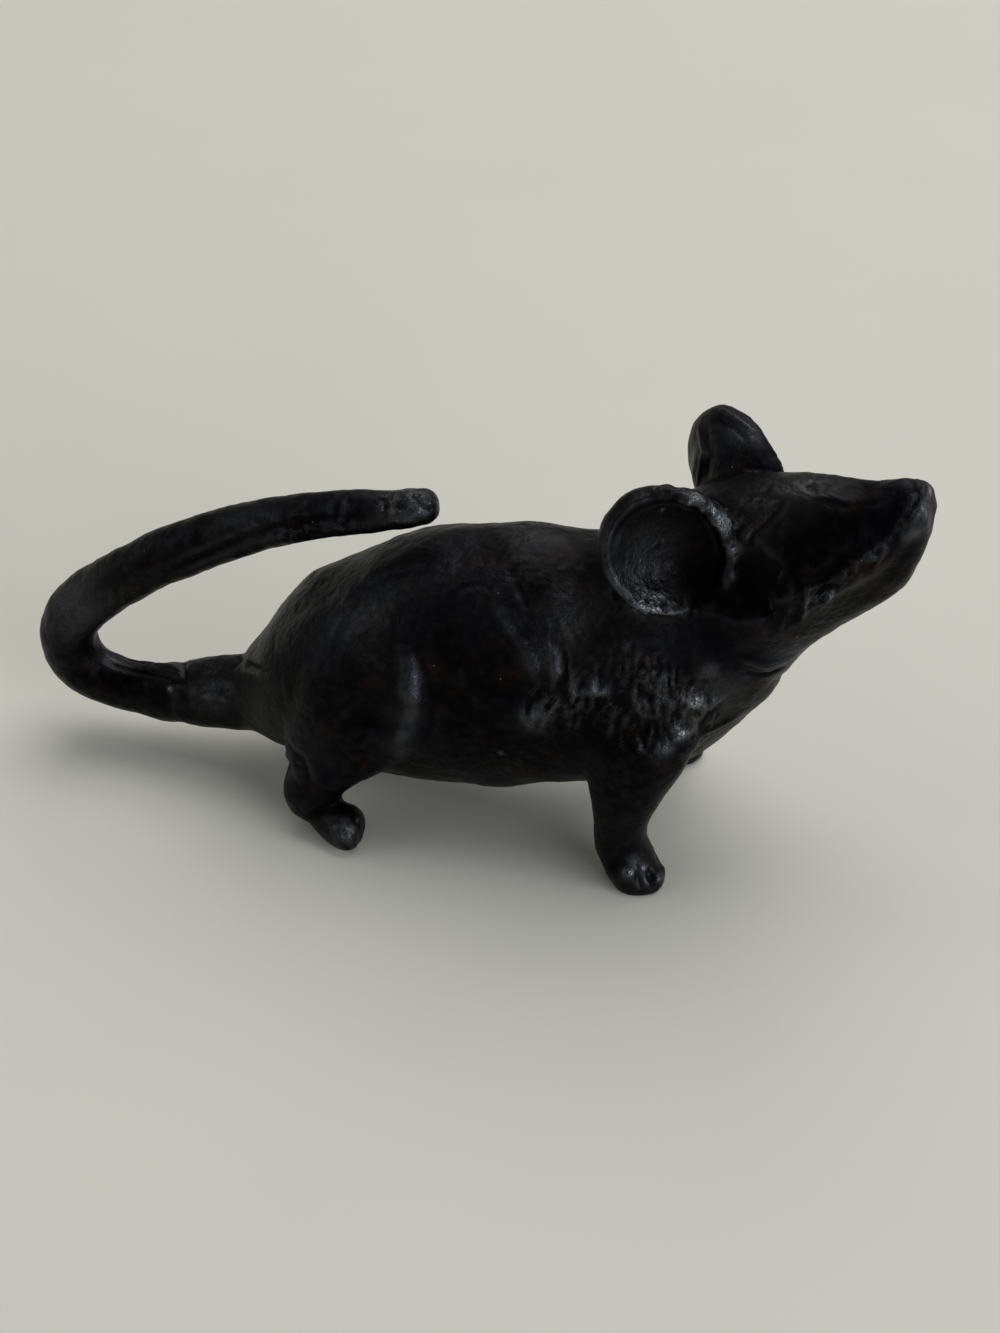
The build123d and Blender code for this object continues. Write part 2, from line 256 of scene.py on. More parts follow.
def ring_solid(rings):
    """A closed mesh through rings of as many points each, with its ends closed by fans."""
    bm = bmesh.new()
    rows = [[bm.verts.new(p) for p in ring] for ring in rings]
    count = len(rows[0])
    for low, high in zip(rows, rows[1:]):
        for i in range(count):
            j = (i + 1) % count
            bm.faces.new((low[i], low[j], high[j], high[i]))
    for row in (rows[0], rows[-1]):
        middle = bm.verts.new(sum((v.co for v in row), Vector()) / count)
        for i in range(count):
            bm.faces.new((row[i], row[(i + 1) % count], middle))
    bmesh.ops.recalc_face_normals(bm, faces=bm.faces)
    mesh = bpy.data.meshes.new("rings")
    bm.to_mesh(mesh)
    bm.free()
    return mesh


def prism(profile, reach):
    """A closed block with an outline in X and Z, from -reach to reach along Y."""
    return ring_solid([[(x, y, z) for x, z in profile] for y in (-reach, reach)])


def cut(mesh, cutter, keep_inside):
    """The part of a closed mesh inside or outside a closed cutter."""
    body, tool = new_object("cut_body", mesh.copy()), new_object("cut_tool", cutter)
    modifier = body.modifiers.new("cut", "BOOLEAN")
    modifier.operation = "INTERSECT" if keep_inside else "DIFFERENCE"
    modifier.solver = "MANIFOLD"
    modifier.object = tool
    out = evaluated_mesh(body)
    remove_object(body)
    bpy.data.objects.remove(tool)
    return out


def voxel_skin(mesh, size):
    """Fuses closed meshes into one skin of even faces."""
    mesh.materials.clear()
    obj = new_object("fused", mesh)
    modifier = obj.modifiers.new("remesh", "REMESH")
    modifier.mode = "VOXEL"
    modifier.voxel_size = size
    modifier.adaptivity = 0
    out = evaluated_mesh(obj)
    remove_object(obj)
    return out


# Skin

class Skin:
    """A closed surface under the modelling tools: points in millimetres and the quads between them."""

    def __init__(self, mesh):
        count = len(mesh.vertices)
        self.points = np.empty(count * 3)
        mesh.vertices.foreach_get("co", self.points)
        self.points = self.points.reshape(-1, 3)
        quads = np.empty(len(mesh.loops), int)
        mesh.loops.foreach_get("vertex_index", quads)
        self.quads = quads.reshape(-1, 4)
        self.keep_largest()

    def find_edges(self):
        """The two ends of each edge."""
        pairs = np.concatenate([self.quads[:, (i, (i + 1) % 4)] for i in range(4)])
        pairs.sort(axis=1)
        return np.unique(pairs, axis=0).T

    def keep_largest(self):
        """Drops the shells inside the skin, such as the castings' cavity."""
        a, b = self.find_edges()
        label = np.arange(len(self.points))
        while True:
            low = np.minimum(label[a], label[b])
            new = label.copy()
            np.minimum.at(new, label[a], low)
            np.minimum.at(new, label[b], low)
            new = new[new]
            if (new == label).all():
                break
            label = new
        kept = label == np.bincount(label).argmax()
        place = np.cumsum(kept) - 1
        self.quads = place[self.quads[kept[self.quads[:, 0]]]]
        self.points = self.points[kept]
        self.a, self.b = self.find_edges()
        count = len(self.points)
        self.degree = (np.bincount(self.a, minlength=count) + np.bincount(self.b, minlength=count))[:, None]

    def neighbour_mean(self, values):
        """The mean of each point's neighbours."""
        count = len(values)
        total = np.stack(
            [
                np.bincount(self.a, values[self.b, k], count) + np.bincount(self.b, values[self.a, k], count)
                for k in range(values.shape[1])
            ],
            axis=1,
        )
        return total / self.degree

    def normals(self):
        """Outward unit normals of the points."""
        p = self.points[self.quads]
        across = np.cross(p[:, 2] - p[:, 0], p[:, 3] - p[:, 1])
        total = np.zeros_like(self.points)
        for k in range(3):
            total[:, k] = sum(np.bincount(self.quads[:, i], across[:, k], len(total)) for i in range(4))
        return total / np.maximum(np.linalg.norm(total, axis=1), 1e-12)[:, None]

    def smooth(self, rounds):
        """Evens the surface out, with a push back that keeps its volume."""
        for _ in range(rounds):
            for step in (0.55, -0.57):
                self.points += step * (self.neighbour_mean(self.points) - self.points)

    def relax(self, rounds, weight=1.0):
        """Evens the surface out where it has weight, and shrinks it a little."""
        for _ in range(rounds):
            self.points += 0.5 * weight * (self.neighbour_mean(self.points) - self.points)

    def fill_creases(self, rounds, share):
        """Raises hollow creases only, as a modeller does with a fillet of wax."""
        step = 0.8
        for _ in range(rounds):
            pull = self.neighbour_mean(self.points) - self.points
            normals = self.normals()
            lift = np.maximum((pull * normals).sum(1), 0) * share * step
            self.points += lift[:, None] * normals

    def push(self, amount):
        """Moves each point along its normal."""
        self.points += amount[:, None] * self.normals()

    def near_path(self, path, reach):
        """Indices of the points within reach of a path's box, with their distance to it and share along it."""
        path = np.asarray(path, float)
        low, high = path.min(0) - reach, path.max(0) + reach
        found = np.nonzero(((self.points > low) & (self.points < high)).all(1))[0]
        p = self.points[found]
        best = np.full(len(found), np.inf)
        share = np.zeros(len(found))
        lengths = np.linalg.norm(np.diff(path, axis=0), axis=1)
        total, gone = max(lengths.sum(), TINY), 0.0
        for start, end, length in zip(path, path[1:], lengths):
            step = end - start
            t = np.clip((p - start) @ step / max(length**2, 1e-12), 0, 1)
            d = np.linalg.norm(p - start - t[:, None] * step, axis=1)
            nearer = d < best
            best[nearer] = d[nearer]
            share[nearer] = (gone + t[nearer] * length) / total
            gone += length
        return found, best, share

    def mesh(self, name):
        """The surface as a mesh."""
        out = bpy.data.meshes.new(name)
        out.from_pydata(self.points, [], self.quads)
        out.update()
        return out


def lattice_noise(points, size, seed):
    """Smooth noise from -1 to 1 whose lumps are about size across."""
    cells, offset = 32, 1000.5
    table = np.random.default_rng(seed).random((cells,) * 3) * 2 - 1
    scaled = points / size + offset
    base = np.floor(scaled).astype(int)
    t = scaled - base
    t = t * t * (3 - 2 * t)
    base %= cells
    out = np.zeros(len(points))
    for corner in range(8):
        step = np.array([corner >> k & 1 for k in range(3)])
        weight = np.where(step, t, 1 - t).prod(1)
        i, j, k = ((base + step) % cells).T
        out += weight * table[i, j, k]
    return out


def layered_noise(points, size, seed):
    """Noise with two finer and weaker layers on top."""
    shares = [1 / 2**k for k in range(3)]
    return sum(lattice_noise(points, size * share, seed + k) * share for k, share in enumerate(shares)) / sum(shares)


def falloff(points, place, reach):
    """Falls from 1 at a place to 0.14 at its reach and to nothing soon after."""
    return np.exp(-2 * (np.linalg.norm(points - place, axis=1) / reach) ** 2)


# Ears' planes

def ear_axes(side):
    """Centre and the forward, upright and outward directions of an ear's rim; upright is down on the left."""
    sign, forward, normal = EARS[side]
    heading = np.array((cos(HEAD_TURN), sin(HEAD_TURN), 0.0))
    across = np.array((-sin(HEAD_TURN), cos(HEAD_TURN), 0.0))
    center = NECK_CENTER + heading * forward + across * sign * EAR_OUT + np.array((0, 0, EAR_UP))
    outward = heading * normal[0] + across * normal[1] + np.array((0, 0, normal[2]))
    outward /= np.linalg.norm(outward)
    along = heading - outward * heading.dot(outward)
    along /= np.linalg.norm(along)
    return center, along, np.cross(outward, along), outward


def ear_ring(side, depth, size, shift=0.0, count=64):
    """Points round an ear at shares of its depth and its size, shifted forward by a share of its half length."""
    center, x, y, z = ear_axes(side)
    center = center + x * shift * EAR_LENGTH / 2
    turn = -EARS[side][0] * EAR_SLOPE
    points = []
    for i in range(count):
        a = 2 * pi * i / count
        u, v = EAR_LENGTH / 2 * size * cos(a), EAR_HEIGHT / 2 * size * sin(a)
        along, up = u * cos(turn) - v * sin(turn), u * sin(turn) + v * cos(turn)
        points.append(tuple(center + x * along + y * up + z * depth * EAR_DEPTH))
    return points


# Modelling marks

# Where the view's rays may come near the castings, and how far off they may pass, in millimetres
RAY_STEPS = range(340, 540, 2)
RAY_GAP = 3


def facing_point(tree, x, y, mirrored=False):
    """Where the view's ray through a pixel meets the castings, and the normal there."""
    origin, along = ray_through(x, y)
    place, normal, _, _ = tree.ray_cast(Vector(origin), Vector(along))
    if place is None:
        hits = [tree.find_nearest(Vector(origin + along * step)) for step in RAY_STEPS]
        place, normal, _, gap = min(hits, key=lambda hit: hit[3])
        if gap > RAY_GAP:
            raise RuntimeError(f"no surface near pixel {x}, {y}")
    place, normal = np.array(place), np.array(normal)
    if mirrored:
        place, normal = place * (1, -1, 1), normal * (1, -1, 1)
    return place, normal


# Swellings and hollows: pixel, reach in millimetres, height, and whether the left side gets it too
SWELLINGS = [
    # haunch and knee
    (285, 606, 13.0, -1.9, False), (284, 764, 3.0, -1.0, True), (286, 790, 3.0, 0.4, True),
    (376, 628, 9.0, 0.6, True), (362, 718, 4.6, -1.0, True), (436, 690, 5.0, -0.6, True),
    (330, 590, 9.0, -0.2, True), (408, 690, 3.0, 0.4, True), (398, 742, 4.0, 0.3, True),
    # shoulder and upper arm
    (584, 640, 6.5, 0.7, True), (534, 718, 3.6, 0.5, True), (535, 600, 4.0, -0.4, True),
    (484, 640, 9.0, -0.5, True), (596, 692, 3.0, 0.5, True), (560, 740, 4.0, -0.3, True),
    # chest
    (694, 706, 2.6, 0.7, False), (682, 734, 2.2, 0.6, False), (650, 712, 5.0, 0.3, False), (668, 746, 2.0, 0.3, False),
    # knuckles of the fore foot
    (628, 874, 1.9, 0.7, True), (643, 868, 1.6, 0.6, True), (638, 888, 2.0, -0.4, True), (659, 878, 1.4, 0.4, True),
    (660, 858, 2.2, -0.6, True), (616, 866, 2.4, -0.3, True),
    # outside of the tail's bend
    (66, 598, 6.0, -1.1, False), (84, 578, 5.0, -0.6, False),
    # belly and flank
    (450, 745, 8.0, 0.3, True), (505, 690, 5.0, -0.3, True),
    # cheek, jaw and far ear
    (778, 612, 4.5, -0.9, False), (840, 585, 3.5, 0.2, False), (770, 560, 5.0, 0.3, False),
    (862, 530, 5.0, -0.3, False), (728, 470, 5.0, -0.3, False),
    (855, 484, 5.5, -1.3, False), (902, 483, 3.2, 0.5, False), (934, 506, 2.4, 0.4, False),
    (811, 601, 1.2, 0.35, False), (920, 525, 2.4, 0.3, False),
]

# Tool marks: pixels along the mark, half width and height in millimetres, and whether the left side gets it too
MARKS = [
    # rump, haunch and knee
    (((240, 658), (253, 668), (268, 673)), 0.8, -0.6, True),
    (((336, 650), (348, 614), (367, 588), (393, 575), (426, 570)), 1.5, -0.22, True),
    (((370, 660), (375, 668)), 0.8, -0.4, True),
    (((405, 650), (409, 676), (412, 702), (407, 729), (396, 756)), 2.2, 1.2, True),
    (((418, 655), (424, 680), (430, 704), (426, 732)), 1.8, -0.45, True),
    (((275, 741), (292, 760), (300, 781)), 1.0, 0.45, True),
    (((288, 741), (303, 760), (309, 781)), 0.9, -0.5, True),
    # shoulder
    (((514, 569), (512, 574), (511, 578)), 0.8, -0.4, True),
    (((449, 595), (463, 587), (480, 583), (500, 596)), 0.7, -0.2, True),
    (((517, 585), (524, 598), (530, 611)), 0.8, -0.45, True),
    (((497, 604), (511, 631), (528, 654), (536, 676)), 1.6, 0.5, True),
    (((550, 640), (554, 660), (556, 684)), 1.2, 0.6, True),
    (((563, 646), (566, 670), (562, 700)), 1.2, -0.6, True),
    (((499, 751), (504, 755)), 0.4, 0.3, False),
    # chest and throat
    (((682, 757), (705, 732), (738, 716)), 0.9, 0.5, False),
    (((668, 742), (690, 730), (704, 708), (722, 696)), 1.0, 0.5, False),
    (((740, 659), (752, 663), (767, 666), (783, 660), (794, 655)), 1.0, 0.6, False),
    (((742, 673), (758, 675), (771, 674), (782, 668)), 0.8, -0.65, False),
    # eye, cheek and brow
    (((787, 501), (767, 521), (753, 535), (749, 553)), 0.8, -0.38, False),
    (((743, 498), (762, 496), (785, 500)), 0.7, -0.16, False),
    (((807, 489), (817, 485), (829, 486)), 0.6, -0.3, False),
    (((817, 494), (849, 496), (876, 489)), 0.8, 0.22, False),
    (((815, 501), (848, 504), (880, 499)), 0.9, -0.22, False),
    # jaw, mouth and nose
    (((914, 512), (907, 532), (893, 556), (868, 573), (838, 593), (813, 606)), 1.7, 0.35, False),
    (((898, 514), (878, 538), (854, 558), (828, 576), (806, 588)), 2.2, -0.75, False),
    (((886, 545), (880, 556), (874, 560)), 1.0, 0.35, False),
    (((808, 590), (806, 604), (803, 618)), 0.7, 0.5, False),
    (((799, 590), (798, 606), (795, 622)), 1.0, -0.6, False),
    (((806, 611), (816, 606), (826, 599), (837, 592)), 0.5, 0.5, False),
    (((815, 598), (825, 591), (836, 585)), 0.9, -0.6, False),
    (((922, 489), (917, 505), (909, 517), (905, 532)), 0.6, -0.4, False),
    # far ear
    (((698, 427), (703, 452), (698, 484)), 0.7, 0.25, False),
    (((707, 432), (711, 455), (707, 480)), 0.9, -0.25, False),
    (((721, 410), (738, 419), (752, 430)), 0.6, 0.45, False),
    (((717, 419), (734, 428), (747, 440)), 0.8, -0.3, False),
    # tail
    (((176, 567), (208, 554), (242, 537), (274, 527), (322, 518), (360, 515)), 1.3, -0.8, False),
    (((102, 648), (120, 656), (146, 662), (182, 668)), 0.9, 0.3, False),
    (((102, 655), (116, 666), (145, 673), (183, 681)), 0.7, -0.35, False),
    (((183, 660), (184, 668), (186, 680)), 0.7, -0.5, False),
    (((175, 690), (176, 701), (177, 712), (179, 721)), 2.0, 0.45, False),
    (((202, 696), (215, 697), (228, 699)), 1.0, 0.4, False),
    # toes, and the hollow above those of the hind feet
    (((636, 868), (638, 878), (641, 889)), 0.55, -0.8, True),
    (((650, 870), (652, 879), (654, 889)), 0.75, -0.9, True),
    (((352, 812), (356, 820), (360, 830)), 0.8, -0.6, True),
    (((338, 839), (344, 846), (350, 849)), 0.45, -0.45, True),
    (((350, 833), (356, 842), (361, 846)), 0.45, -0.45, True),
]

# Fields of short strokes: middle pixel, half size in pixels, slant, number, length in pixels, half width
# and height in millimetres, and whether the left side gets them too
STROKES = [
    (644, 704, 44, 46, -0.12, 330, 12, 0.38, 0.30, True),
    (692, 712, 24, 30, -0.4, 110, 11, 0.38, 0.38, False),
    (576, 692, 30, 32, -0.25, 100, 14, 0.42, 0.34, True),
    (612, 664, 30, 24, -0.2, 60, 14, 0.45, 0.22, True),
    (540, 640, 40, 30, 0.6, 30, 20, 0.8, 0.2, True),
    (776, 612, 18, 20, -0.3, 22, 13, 0.5, 0.2, False),
    (550, 708, 28, 20, -0.5, 80, 14, 0.42, 0.38, True),
    (822, 596, 14, 12, -0.9, 26, 9, 0.40, 0.3, False),
    (896, 529, 9, 10, 0.3, 16, 9, 0.42, 0.32, False),
    (874, 552, 11, 9, -0.7, 26, 9, 0.42, 0.36, False),
    (852, 570, 10, 8, -0.6, 18, 8, 0.42, 0.32, False),
    (640, 598, 26, 13, 0.6, 50, 9, 0.40, 0.28, False),
    (680, 606, 18, 10, 0.4, 26, 9, 0.42, 0.3, False),
    (760, 520, 22, 26, -0.8, 20, 14, 0.6, 0.12, False),
    (842, 487, 46, 7, 8.0, 90, 14, 0.4, 0.3, False),
    (702, 508, 22, 9, 1.0, 44, 8, 0.42, 0.42, False),
    (729, 542, 9, 26, -0.8, 44, 8, 0.42, 0.42, False),
    (405, 504, 30, 8, 2.0, 60, 7, 0.42, 0.34, False),
    (300, 528, 50, 8, 2.0, 70, 7, 0.42, 0.3, False),
    (919, 500, 8, 16, 0.2, 34, 7, 0.42, 0.34, False),
]

# Rough patches: pixel, reach and height of the roughness in millimetres
PATCHES = [
    (655, 705, 8.0, 0.42), (694, 720, 4.5, 0.45), (584, 690, 6.0, 0.36), (872, 552, 3.5, 0.3), (850, 570, 3.0, 0.3),
    (822, 598, 3.5, 0.5), (916, 500, 2.6, 0.3), (545, 710, 4.5, 0.25), (290, 528, 4.5, 0.3), (340, 516, 3.5, 0.3),
    (405, 505, 5.5, 0.35), (345, 830, 4.0, 0.15), (536, 718, 3.5, 0.3), (700, 506, 3.0, 0.3), (725, 535, 3.0, 0.3),
    (778, 612, 4.0, 0.2), (205, 690, 4.0, 0.25), (765, 520, 3.5, 0.15), (120, 600, 5.0, 0.1), (520, 760, 5.0, 0.1),
    (530, 536, 5.0, 0.06), (650, 600, 5.0, 0.3), (411, 700, 4.0, 0.14), (402, 738, 4.5, 0.16),
]

# Rubbed places, which also hold a painted highlight and painted reflection where the back's top, the head's top, the
# jaw and the chest catch the light: pixel, reach in millimetres and share of the rubbed and lit colour
TONES = [
    (514, 531, 2.8, 0.5), (534, 533, 2.8, 0.5), (558, 539, 2.8, 0.4), (694, 720, 4.5, 0.5), (596, 692, 2.5, 0.35),
    (870, 584, 5.0, 0.2), (400, 505, 5.0, 0.4), (345, 830, 4.0, 0.2), (642, 872, 4.0, 0.35), (584, 646, 8.0, 0.2),
    (796, 487, 6.0, 0.6), (760, 505, 6.0, 0.4), (848, 484, 8.0, 0.1), (110, 600, 8.0, 0.2), (665, 600, 6.0, 0.25),
    (205, 670, 8.0, 0.4),
]

# Places that hands have polished smoother, which also carry a painted highlight and painted reflection as painted
# sheen: pixel, reach in millimetres and share of the polish and its painted sheen
POLISH_AND_HIGHLIGHTS = [
    # knee, haunch, rump and hind foot
    (408, 662, 2.2, 0.3), (411, 680, 2.8, 0.32), (411, 698, 3.0, 0.3), (404, 722, 4.5, 0.22), (411, 716, 2.8, 0.36),
    (404, 736, 3.0, 0.34), (398, 750, 4.5, 0.26), (370, 605, 15.0, 0.20), (430, 560, 14.0, 0.15),
    (490, 600, 11.0, 0.13), (530, 536, 6.0, 0.16), (300, 600, 12.0, 0.12), (215, 690, 6.0, 0.4), (190, 650, 6.0, 0.35),
    (250, 690, 9.0, 0.14), (344, 831, 3.6, 0.5), (300, 750, 8.0, 0.12),
    # shoulder, elbow and fore foot
    (512, 622, 4.0, 0.26), (540, 655, 5.0, 0.42), (562, 618, 6.5, 0.42), (552, 650, 3.5, 0.35), (640, 640, 8.0, 0.14),
    (534, 720, 3.2, 0.7), (552, 668, 2.6, 0.35), (556, 706, 3.4, 0.45), (576, 690, 3.6, 0.4), (597, 690, 2.2, 0.6),
    (630, 830, 9.0, 0.05), (638, 872, 3.2, 0.4), (628, 872, 1.5, 0.9), (644, 867, 1.6, 0.85), (660, 878, 1.3, 0.5),
    (501, 753, 0.6, 1.5),
    # chest and throat
    (645, 700, 7.0, 0.24), (694, 704, 3.0, 1.2), (681, 733, 2.2, 1.1), (696, 722, 2.0, 0.7), (720, 694, 5.0, 0.45),
    (788, 655, 4.0, 0.4), (709, 673, 2.2, 0.6), (664, 749, 2.0, 0.8),
    # head
    (930, 491, 0.9, 1.6), (924, 512, 2.2, 0.6), (915, 534, 2.4, 0.6), (811, 602, 1.8, 1.1), (830, 598, 1.6, 0.6),
    (876, 550, 2.6, 0.1), (800, 490, 7.0, 0.16), (765, 515, 7.0, 0.1),
    # ears
    (650, 602, 5.0, 1.12), (612, 546, 4.0, 0.25), (618, 580, 4.0, 0.45), (722, 526, 2.4, 0.85), (698, 501, 2.8, 0.8),
    (709, 508, 0.6, 1.3), (719, 517, 0.5, 1.3), (692, 497, 0.7, 1.2), (704, 503, 0.8, 1.3), (714, 511, 0.8, 1.3),
    (645, 550, 7.0, 0.5), (628, 578, 4.5, 0.6), (723, 524, 0.7, 1.2), (663, 541, 0.45, 1.6), (663, 510, 0.45, 1.5),
    (641, 561, 0.4, 1.4), (653, 564, 0.4, 1.4), (657, 608, 0.6, 1.5), (735, 548, 1.6, 0.8), (745, 432, 4.0, 0.3),
    (720, 450, 7.0, 0.08),
    # tail
    (405, 505, 6.0, 0.6), (382, 509, 0.5, 1.3), (398, 505, 0.5, 1.3), (420, 510, 0.6, 1.3), (429, 503, 0.5, 1.3),
    (390, 500, 0.5, 1.3), (70, 610, 9.0, 0.4), (110, 655, 4.0, 0.4), (250, 512, 9.0, 0.16), (170, 689, 0.7, 1.5),
]

# Most that a mark and a stroke may move the skin, in millimetres, and the strokes' seed
MARK_LIMIT = 1.0
STROKE_LIMIT = 0.42
STROKE_SEED = 7


def lay_marks(skin, tree, marks, depth, limit):
    """Presses tool marks into the skin and draws its ridges up, all at once and no further than a limit."""
    end_height, end_slope = 0.35, 5
    normals = skin.normals()
    amount = np.zeros(len(skin.points))
    for pixels, width, height, both in marks:
        for mirrored in (False, True)[: 1 + both]:
            places = [facing_point(tree, x, y, mirrored) for x, y in pixels]
            facing = sum(normal for _, normal in places)
            facing /= np.linalg.norm(facing)
            found, distance, share = skin.near_path([place for place, _ in places], 2.5 * width)
            fall = np.exp(-2 * (distance / width) ** 2) * np.clip(normals[found] @ facing * 2, 0, 1)
            fade = np.clip(end_slope * np.minimum(share, 1 - share) + end_height, 0, 1)
            amount[found] += depth * height * fall * fade
    skin.points += (limit * np.tanh(amount / limit))[:, None] * normals


def model_swellings(skin, tree, depth):
    """Raises the muscles and sinks the hollows between them."""
    normals = skin.normals()
    amount = np.zeros(len(skin.points))
    for x, y, reach, height, both in SWELLINGS:
        for mirrored in (False, True)[: 1 + both]:
            place, facing = facing_point(tree, x, y, mirrored)
            found, distance, _ = skin.near_path([place, place + 1e-6], reach * 1.3)
            fall = np.exp(-2.2 * (distance / reach) ** 2) * np.clip(normals[found] @ facing * 2, 0, 1)
            amount[found] += depth * height * fall
    skin.points += amount[:, None] * normals


def stroke_marks(seed):
    """Short marks of the modelling tool, strewn over the fields with a fixed seed, more furrows than ridges."""
    ridge_chance = 0.4
    chance = np.random.default_rng(seed)
    marks = []
    for x, y, wide, high, slant, count, length, width, height, both in STROKES:
        for _ in range(count):
            away, turn = chance.random() ** 0.5, chance.random() * 2 * pi
            cx, cy = x + wide * away * cos(turn), y + high * away * sin(turn)
            lean = slant + 0.5 * (chance.random() - 0.5)
            half = length * (0.3 + 0.4 * chance.random()) / (1 + lean * lean) ** 0.5
            sign = 1 if chance.random() < ridge_chance else -1
            size = 0.7 + 0.6 * chance.random()
            bend = 2 * (chance.random() - 0.5)
            marks.append((
                ((cx - lean * half, cy - half), (cx + bend, cy), (cx + lean * half, cy + half)),
                width * size, sign * height * (0.5 + 0.5 * chance.random()), both,
            ))
    return marks


def model_roughness(skin, tree, unevenness, depth):
    """Waves the whole skin a little, and roughens the patches that were left unsmoothed."""
    p = skin.points
    waves = lattice_noise(p, 7.0, 11) + 0.45 * lattice_noise(p, 3.2, 12) + 0.2 * lattice_noise(p, 1.5, 13)
    rough = 0.07 * layered_noise(p, 1.1, 21)
    ridged = 0.6 - 2 * np.abs(lattice_noise(p * (1, 1, 0.6), 2.1, 31)) + 0.8 * lattice_noise(p * (1, 1, 0.6), 1.2, 32)
    for x, y, reach, height in PATCHES:
        rough += height * falloff(p, facing_point(tree, x, y)[0], reach) * ridged
    skin.push(unevenness * waves + depth * rough)


def wear_and_painted_light_values(skin):
    """Edge wear, tone, roughness and polish at the skin's points, for the paint. The tone and the polish also carry
    painted highlights and reflections, and the polish is cut back in hollows as painted shade.
    """
    ridge_curve, hollow_curve = 0.025, 0.02
    tree = BVHTree.FromPolygons(skin.points.tolist(), skin.quads.tolist())
    bend = skin.neighbour_mean(skin.points) - skin.points
    curve = -(bend * skin.normals()).sum(1)[:, None]
    for _ in range(2):
        curve = skin.neighbour_mean(curve)
    edge = np.clip(curve[:, 0] / ridge_curve, 0, 1)
    hollow = np.clip(-curve[:, 0] / hollow_curve, 0, 1)
    patches = [(x, y, reach, min(1, height * 3)) for x, y, reach, height in PATCHES]
    layers = []
    for spots in (TONES, patches, POLISH_AND_HIGHLIGHTS):
        values = np.zeros(len(skin.points))
        for x, y, reach, amount in spots:
            fall = falloff(skin.points, facing_point(tree, x, y)[0], reach)
            np.maximum(values, fall * amount, out=values)
        layers.append(values)
    tone, rough, polish_and_highlight = layers
    # The polish, and with it the painted sheen, is cut back in the rough patches' hollows as painted shade, with some
    # darker paint there, and raised on edges as edge wear
    polish_and_highlight *= (1 - 0.85 * hollow * np.clip(rough * 2.5, 0, 1)) * (1 + 0.5 * edge)
    return {"edge": edge, "tone": tone, "rough": rough, "polish_and_highlight": polish_and_highlight}


def point_lookup(points):
    """A tree that finds the point nearest to a place."""
    lookup = KDTree(len(points))
    for i, p in enumerate(points):
        lookup.insert(p, i)
    lookup.balance()
    return lookup


# Ears' dishes and rims

def ear_place(points, side):
    """Points' places on the two axes of an ear's rim, as shares of its half size, and outward in millimetres."""
    center, x, y, z = ear_axes(side)
    turn = -EARS[side][0] * EAR_SLOPE
    u, v, depth = ((points - center) @ axis for axis in (x, y, z))
    along, up = u * cos(turn) + v * sin(turn), v * cos(turn) - u * sin(turn)
    return along / (EAR_LENGTH / 2), up / (EAR_HEIGHT / 2), depth


# Ears' dishes: the lowest place and the radius of the lip, as shares of the rim's half size, and in millimetres
# the depth of the lowest place, the height of the lip at its lowest and how much it rises from there
DISH_LOW = (0.30, -0.12)
DISH_RADIUS = 0.88
DISH_DEPTH = 3.4
LIP_LOW = 0.9
LIP_RISE = 0.9


def dish_depth(along, up):
    """Height of an ear's dish over the rim's plane in millimetres: negative in the dish, easing out to the lip.

    The share says how far a point is on its way from the lowest place to the lip's circle.
    """
    low_along, low_up = DISH_LOW
    step_along, step_up = along - low_along, up - low_up
    a = step_along**2 + step_up**2 + TINY
    b = low_along * step_along + low_up * step_up
    c = low_along**2 + low_up**2 - DISH_RADIUS**2
    share = a / (-b + np.sqrt(b * b - a * c))
    out = np.hypot(along, up) + TINY
    lip = LIP_LOW + np.minimum(0.8 * np.clip(-along / out, 0, 1) + 0.5 * np.clip(-up / out, 0, 1), LIP_RISE)
    return lip - (lip + DISH_DEPTH) * (1 - np.clip(share, 0, 1) ** 1.5)


def shape_dishes(skin):
    """Eases the ears' dishes up to the lip, and lets them reach further out at the back and in front."""
    deepest, highest, least_facing = -5.5, 2.6, 0.1
    for side in EARS:
        normals = skin.normals()
        along, up, depth = ear_place(skin.points, side)
        out = np.hypot(along, up)
        outward = ear_axes(side)[3]
        back = np.clip((-along - 0.6 * up) / (out + TINY), 0, 1)
        front = np.clip((0.8 * along - 0.6 * up) / (out + TINY), 0, 1)
        edge = 0.87 + 0.07 * back + 0.08 * front
        inside = (out < edge) & (depth > deepest) & (depth < highest) & (normals @ outward > least_facing)
        t = np.clip((edge[inside] - out[inside]) / (0.12 + 0.1 * back[inside]), 0, 1)
        weight = t * t * (3 - 2 * t)
        change = (dish_depth(along[inside], up[inside]) - depth[inside]) * weight
        skin.points[inside] += change[:, None] * outward


# Places thumbed smooth. The nose and the step of the tail's sleeve: pixel and reach in millimetres
THUMBED = [(931, 485, 3.0), (180, 698, 2.6), (180, 710, 2.6), (181, 720, 2.6)]
# Places on both ears' rims: shares of the ear's depth and of the rim's size, reach in millimetres, and turns
THUMBED_RIMS = [(0.2, 0.92, 3.2, (-0.05, -0.01, 0.03)), (0.15, 0.85, 1.9, (0.6, 0.64, 0.68, 0.72))]
THUMB_ROUNDS = 40


def thumbed_share(skin, tree):
    """How strongly each place is thumbed smooth."""
    spots = [(facing_point(tree, x, y)[0], reach) for x, y, reach in THUMBED]
    for side in EARS:
        for depth, size, reach, turns in THUMBED_RIMS:
            ring = ear_ring(side, depth, size, count=RING_STEPS)
            spots += [(np.array(ring[round(turn * RING_STEPS) % RING_STEPS]), reach) for turn in turns]
    share = np.zeros(len(skin.points))
    for place, reach in spots:
        np.maximum(share, falloff(skin.points, place, reach), out=share)
    return share


